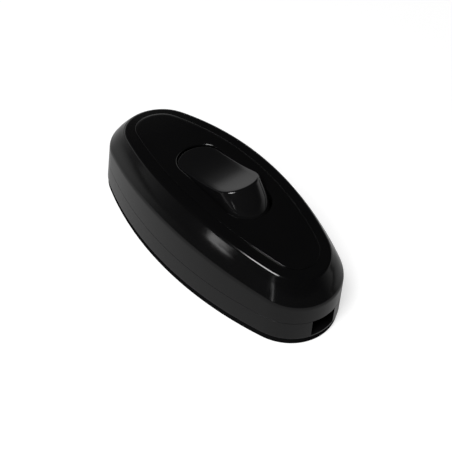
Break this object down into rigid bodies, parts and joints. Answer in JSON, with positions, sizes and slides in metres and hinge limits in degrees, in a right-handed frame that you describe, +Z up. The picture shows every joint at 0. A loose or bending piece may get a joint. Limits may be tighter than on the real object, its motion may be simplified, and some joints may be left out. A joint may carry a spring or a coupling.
{
  "type": "inline cord switch",
  "caption": "Oval black inline switch for a flat two-core lamp cord: a tray and a crowned cover round a see-saw contact, with a tilting rocker on top.",
  "frame": {"origin": "centre of the underside, on the surface that the switch lies on", "axes": "+X along the casing towards the end where the rocker stands up at rest, +Y across the casing, +Z up out of the cover"},
  "size_m": [0.0812, 0.0366, 0.0264],
  "materials": {
    "casing_black": "black moulded, glossy",
    "base_black": "black moulded, glossy",
    "rocker_black": "black moulded, satin gloss",
    "plunger_nylon": "natural moulded",
    "grip_nylon": "black moulded, dull",
    "spring_steel": "drawn wire",
    "contact_brass": "stamped strip",
    "terminal_brass": "turned and cut bar",
    "tip_silver": "silver alloy",
    "screw_steel": "zinc plated"
  },
  "bodies": {
    "casing": {"cover": "casing_black", "base": "base_black", "fulcrum_bracket": "contact_brass", "fixed_contact_bracket": "contact_brass", "fixed_contact_tip": "tip_silver", "live_in_terminal": "terminal_brass", "live_out_terminal": "terminal_brass", "neutral_link": "terminal_brass", "live_in_screw": "screw_steel", "live_out_screw": "screw_steel", "neutral_in_screw": "screw_steel", "neutral_out_screw": "screw_steel", "cord_grip_right": "grip_nylon", "cord_grip_left": "grip_nylon", "grip_screw_right_back": "screw_steel", "grip_screw_right_front": "screw_steel", "grip_screw_left_back": "screw_steel", "grip_screw_left_front": "screw_steel", "housing_screw_right": "screw_steel", "housing_screw_left": "screw_steel"},
    "rocker_body": {"rocker": "rocker_black", "plunger_spring": "spring_steel"},
    "plunger_body": {"plunger": "plunger_nylon"},
    "contact_body": {"rocking_contact": "contact_brass", "moving_contact_tip": "tip_silver"}
  },
  "joints": [
    {"name": "rocker_tilt", "type": "hinge", "parent": "casing", "child": "rocker_body", "pos_m": [0, 0, 0.012], "axis": [0, 1, 0], "range_deg": [0, 26]},
    {"name": "contact_swing", "type": "hinge", "parent": "casing", "child": "contact_body", "pos_m": [0, 0, 0.0047], "axis": [0, 1, 0], "range_deg": [-16, 0]},
    {"name": "plunger_slide", "type": "slide", "parent": "rocker_body", "child": "plunger_body", "axis": [-0.225, 0, 0.9744], "range_m": [0, 0.001], "stiffness_N_per_m": 500, "springref_m": -0.002, "deforming": ["plunger_spring"]}
  ],
  "couplings": [
    {"joint": "contact_swing", "follows": "rocker_tilt", "ratio": -0.61538}
  ]
}
